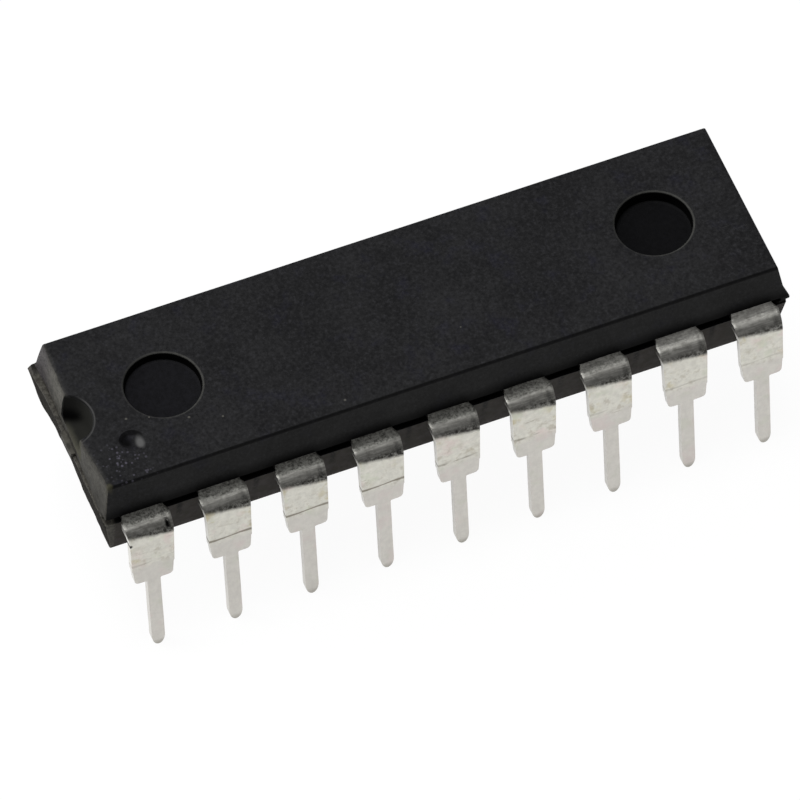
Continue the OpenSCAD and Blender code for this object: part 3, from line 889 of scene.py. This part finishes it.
# %% [markdown]
# ## The rubbed bend
#
# The forming tool slides over the bend, burnishes the tin and drags dirt into it. The rubbed part ends
# in a slanting, slightly ragged line below the bend. Bare metal shows in brushed streaks, and dirt
# sits on the flat top and low on the bend. The flat top is also painted darker, a painted reflection
# of the black block beside it. On the leads near the plain end the flat tops are lighter, so the
# painted dark of the top and the soot are weaker there.

# %% Burnished metal, soot, a painted reflection and a painted shadow
line = 5.22 - across * front * 0.14 + (grains - 0.5) * 0.1
burnish = (tin.z - line).ramp(-0.08, 0.07)
lighter = number.ramp(0.0, 4.0) * front
worn = tin.between(brushed.ramp(0.35, 0.65), (124, 123, 119), (154, 153, 148))
worn = tin.over(worn, grains.ramp(0.45, 0.7) * 0.6, (92, 91, 86))
# Painted reflection: the flat top is painted darker, as it would mirror the black block.
worn = tin.over(worn, tin.facing[2].ramp(0.9, 0.99) * (1.0 - lighter * 0.75) * 0.85, (76, 76, 73))
scuffed = tin.z.fall(5.26, 5.44) * tin.clouds(9.0, 4.0, 0.7, seed=51.0).ramp(0.42, 0.56)
worn = tin.over(worn, scuffed * 0.85, (42, 40, 37))
soot = tin.clouds(11.0, 5.0, 0.8, seed=77.0)
sooty = tin.facing[2].ramp(0.93, 0.99).most(tin.z.ramp(5.3, 5.46, 0.9, 0.15))
worn = tin.over(worn, sooty * soot.ramp(0.42, 0.62) * (0.8 - lighter * 0.5), (24, 23, 21))
# A black spot at the right edge of each front lead's bend, part soot and part painted shadow, strongest on
# the first lead.
soot_and_shadow_spot = ((across - 0.58) ** 2.0 + ((tin.z - 5.40) * 0.55) ** 2.0).root().fall(0.03, 0.13) * front
most_on_first = abs(number + 4.0).ramp(0.2, 0.8, 1.0, 0.45)
worn = tin.over(worn, soot_and_shadow_spot * most_on_first * soot.ramp(0.35, 0.5), (8, 8, 8))
tone = tin.blend(burnish, face, worn)
print(len(tin.nodes), "nodes with the rubbed bends")

# %% Creases, one speck and fine rows below the shoulder
pressed = abs(number + 2.0).fall(1.2, 1.8)
broken = tin.clouds(1.1, 2.0, 0.5, seed=23.0).ramp(0.42, 0.55) * abs(number - 0.5).ramp(0.8, 1.2, 0.8, 0.3)
thick = 0.022 + abs(across) * 0.04
from_crease = abs(tin.z - 4.05 - (across * 3.5).sine() * 0.02 - (grains - 0.5) * 0.05)
creased = from_crease.fall(0.4 * thick, 1.6 * thick) * pressed.most(broken)
tone = tin.over(tone, creased * front * 0.8, (116, 108, 94))
speck = ((tin.x + 10.87) ** 2.0 + (tin.z - 5.03) ** 2.0).root().fall(0.03, 0.09) * front
tone = tin.over(tone, speck, (14, 12, 10))
rows = tin.clouds(1.0, 4.0, 0.7, place=tin.stretched(0.7, 1.0, 5.0), seed=41.0)
tone = tin.over(tone, rows.ramp(0.63, 0.68) * (1.0 - burnish) * tin.z.ramp(3.2, 3.6) * 0.4, (140, 128, 106))
tin.set(
    Base_Color=tone,
    Metallic=burnish.ramp(0.0, 1.0, 0.72, 0.95),
    Roughness=streaks.ramp(0.25, 0.75, 0.42, 0.54) - burnish * 0.06,
    Normal=tin.bump(streaks, 0.2, 0.01, under=tin.bump(brushed, burnish.ramp(0.0, 1.0, 0.1, 0.3), 0.01)),
)
print(len(tin.nodes), "nodes in the tin plating")

# %% [markdown]
# ## The cut tie bars
#
# Two bars held the paddle in the strip until the part was cut free. Their torn ends show in the block's
# two ends as small rough patches of a dull brown grey, neither black nor bright.

# %% Torn metal of the tie bars
cut_metal = Finish("cut_tie_bar", Metallic=0.2, Specular_IOR_Level=0.2)
torn = cut_metal.clouds(6.0, 3.0, 0.6)
cut_metal.set(
    Base_Color=cut_metal.between(torn.ramp(0.35, 0.65), (58, 57, 53), (80, 78, 72)),
    Roughness=torn.ramp(0.3, 0.7, 0.8, 0.65),
    Normal=cut_metal.bump(torn, 0.15, 0.01),
)
print(len(cut_metal.nodes), "nodes in the cut metal")

# %% [markdown]
# ## What is sealed inside
#
# No picture shows the die, its silver-filled adhesive or the gold wires, but the solids are there and
# get a finish of their own: cloudy grey resin, a die with fine lines of circuitry, drawn gold.

# %% Adhesive, silicon and gold
resin = Finish("silver_resin", Roughness=0.55)
resin.set(
    Base_Color=resin.between(resin.clouds(9.0), (150, 150, 146), (196, 196, 190)),
    Metallic=resin.cells(30.0).ramp(0.1, 0.3, 0.8, 0.2),
)
silicon = Finish("silicon", Roughness=0.2, Metallic=0.3)
tracks = (silicon.x * 60.0).sine().most((silicon.y * 47.0).sine()).ramp(0.6, 0.95)
shown = tracks * silicon.clouds(2.0).ramp(0.4, 0.6)
silicon.set(Base_Color=silicon.between(shown, (70, 76, 92), (140, 128, 120)))
gold = Finish("drawn_gold", Metallic=1.0)
gold.set(
    Base_Color=gold.between(gold.clouds(12.0), (222, 178, 96), (240, 204, 128)),
    Roughness=gold.clouds(6.0).ramp(0.3, 0.7, 0.22, 0.34),
)
print("finishes inside:", [finish.material.name for finish in (resin, silicon, gold)])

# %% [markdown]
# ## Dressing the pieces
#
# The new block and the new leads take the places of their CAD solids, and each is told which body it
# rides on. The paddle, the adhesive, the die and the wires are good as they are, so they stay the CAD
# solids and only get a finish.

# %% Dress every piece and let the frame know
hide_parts("body")
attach(block, "root")
block.data.materials.append(mould.material)
for n, lead in enumerate(leads, 1):
    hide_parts(f"pin_{n}")
    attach(lead, "root")
    lead.data.materials.clear()
    lead.data.materials.append(tin.material)
inside = {"die_pad": cut_metal, "die_attach": resin, "die": silicon, "bond_wires": gold}
for name, finish in inside.items():
    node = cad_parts[name]
    node.data.materials.clear()
    node.data.materials.append(finish.material)
print(1 + len(leads), "pieces laid over the frame,", len(inside), "solids dressed as they are")

# %% [markdown]
# ## Floor and light
#
# The chip lay on white paper in soft light. A plain white floor would turn grey in the light that suits
# the chip, and more light would wash the chip out. So the floor shines by itself, but only for the
# camera and for mirrors, and it keeps some of its own shading, so the chip's soft shadow stays.

# %% Floor
fresh()
bpy.ops.mesh.primitive_plane_add(size=4.0, location=(0, 0, 0))
floor = bpy.context.object
floor.name = "floor"
paper = Finish("white_paper", Base_Color=(0.8, 0.8, 0.8, 1), Roughness=0.9)
seen = paper.node("ShaderNodeLightPath", {}, (), "Is Camera Ray")
for ray in ("Is Glossy Ray", "Is Transmission Ray"):
    seen = seen.most(paper.node("ShaderNodeLightPath", {}, (), ray))
plain = Field(paper, paper.shader.outputs[0])
glow = paper.node("ShaderNodeEmission", {}, {"Color": (1, 1, 1, 1), "Strength": 1.03})
mixed = paper.node("ShaderNodeMixShader", {}, {0: seen * 0.92, 1: plain, 2: glow})
paper.links.new(mixed.socket, paper.nodes["Material Output"].inputs["Surface"])
floor.data.materials.append(paper.material)
print("floor", round(floor.dimensions.x, 2), "m wide")

# %% [markdown]
# ## The world
#
# A dim, even grey from all sides fills the shadows as the walls of a room do. The camera sees white in
# its place, so the picture ends in white also where a low view looks past the floor.

# %% World
world = bpy.data.worlds.new("studio")
bpy.context.scene.world = world
world.use_nodes = True
sky = Sheet(world.node_tree)
to_camera = sky.node("ShaderNodeLightPath", {}, (), "Is Camera Ray")
dim, white = (0.32, 0.32, 0.32, 1), (1, 1, 1, 1)
shade = sky.node("ShaderNodeMix", {"data_type": "RGBA"}, {0: to_camera, 6: dim, 7: white}, 2)
sky.links.new(shade.socket, sky.nodes["Background"].inputs["Color"])
print(len(sky.nodes), "nodes in the world")

# %% [markdown]
# ## Two lamps
#
# Both lamps are large beside a chip of two centimetres, so no shadow has a hard edge. One hangs above
# and a little behind, and draws the pale line along the bends. The other stands low at the rear left
# and lights the notch end.


# %% Lamps
def lamp(name, place, size, power):
    """A rectangular lamp at a place in metres, aimed at the chip."""
    light = bpy.data.lights.new(name, "AREA")
    light.shape = "RECTANGLE"
    light.size, light.size_y = size
    light.energy = power
    holder = bpy.data.objects.new(name, light)
    holder.location = place
    holder.rotation_mode = "QUATERNION"
    holder.rotation_quaternion = (-Vector(place)).to_track_quat("-Z", "Y")
    bpy.context.scene.collection.objects.link(holder)
    print(name, "lamp,", power, "W")


lamp("overhead", (-0.05, 0.08, 0.6), (0.3, 0.22), 2.1)
lamp("left_rear", (-0.45, 0.3, 0.3), (0.3, 0.3), 1.6)

bpy.context.scene.view_settings.view_transform = "Standard"
